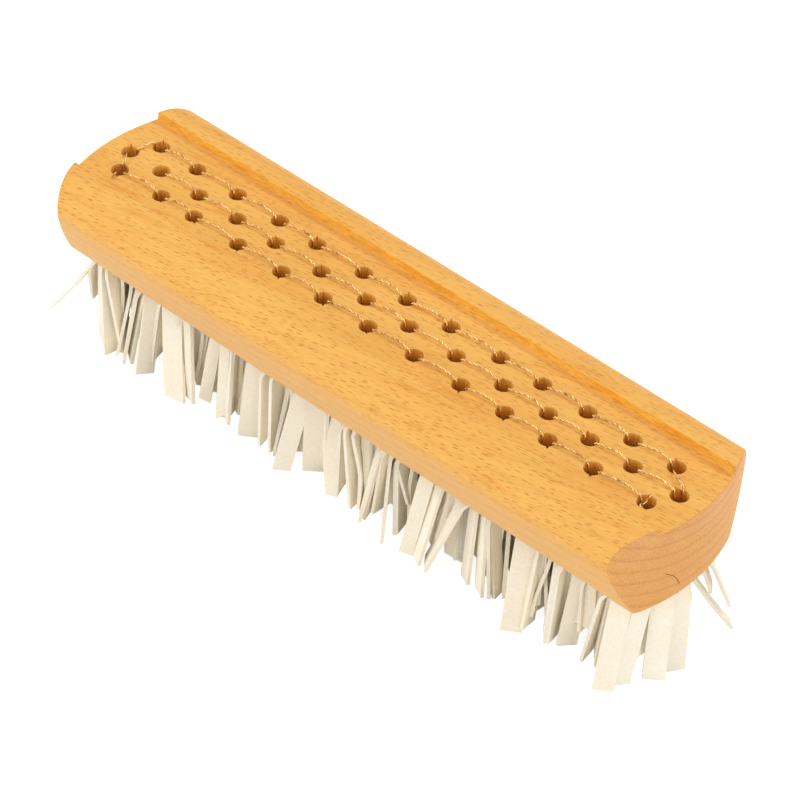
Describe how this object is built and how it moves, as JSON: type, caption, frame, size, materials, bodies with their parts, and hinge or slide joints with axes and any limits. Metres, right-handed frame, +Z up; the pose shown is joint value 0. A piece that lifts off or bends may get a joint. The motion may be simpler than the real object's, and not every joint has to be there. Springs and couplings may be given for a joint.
{
  "type": "lint brush",
  "caption": "Hand-held lint brush: a beech bar with a shallow top channel and rows of natural rubber strips drawn in by a twisted wire.",
  "frame": {"origin": "middle of the brush's outline seen from above, at the height of the strips' tips that it stands on", "axes": "+X along the back, from the end with the wire's tail to the end with its free end; +Y from the near row to the far row; +Z up, from the strips' tips to the channel"},
  "size_m": [0.1886, 0.0474, 0.0578],
  "materials": {
    "beech": "oiled, fine straight grain with short dark flecks",
    "rubber_strips": "matt, lightly powdered",
    "brass_wire": "bright, twisted from two strands"
  },
  "bodies": {
    "root": {"beech_back": "beech", "draw_wire_long": "brass_wire", "draw_wire_near": "brass_wire", "tuft_far_01": "rubber_strips", "tuft_far_02": "rubber_strips", "tuft_far_03": "rubber_strips", "tuft_far_04": "rubber_strips", "tuft_far_05": "rubber_strips", "tuft_far_06": "rubber_strips", "tuft_far_07": "rubber_strips", "tuft_far_08": "rubber_strips", "tuft_far_09": "rubber_strips", "tuft_far_10": "rubber_strips", "tuft_far_11": "rubber_strips", "tuft_far_12": "rubber_strips", "tuft_far_13": "rubber_strips", "tuft_middle_01": "rubber_strips", "tuft_middle_02": "rubber_strips", "tuft_middle_03": "rubber_strips", "tuft_middle_04": "rubber_strips", "tuft_middle_05": "rubber_strips", "tuft_middle_06": "rubber_strips", "tuft_middle_07": "rubber_strips", "tuft_middle_08": "rubber_strips", "tuft_middle_09": "rubber_strips", "tuft_middle_10": "rubber_strips", "tuft_middle_11": "rubber_strips", "tuft_middle_12": "rubber_strips", "tuft_middle_13": "rubber_strips", "tuft_middle_14": "rubber_strips", "tuft_near_01": "rubber_strips", "tuft_near_02": "rubber_strips", "tuft_near_03": "rubber_strips", "tuft_near_04": "rubber_strips", "tuft_near_05": "rubber_strips", "tuft_near_06": "rubber_strips", "tuft_near_07": "rubber_strips", "tuft_near_08": "rubber_strips", "tuft_near_09": "rubber_strips", "tuft_near_10": "rubber_strips", "tuft_near_11": "rubber_strips", "tuft_near_12": "rubber_strips", "tuft_near_13": "rubber_strips"}
  },
  "joints": []
}
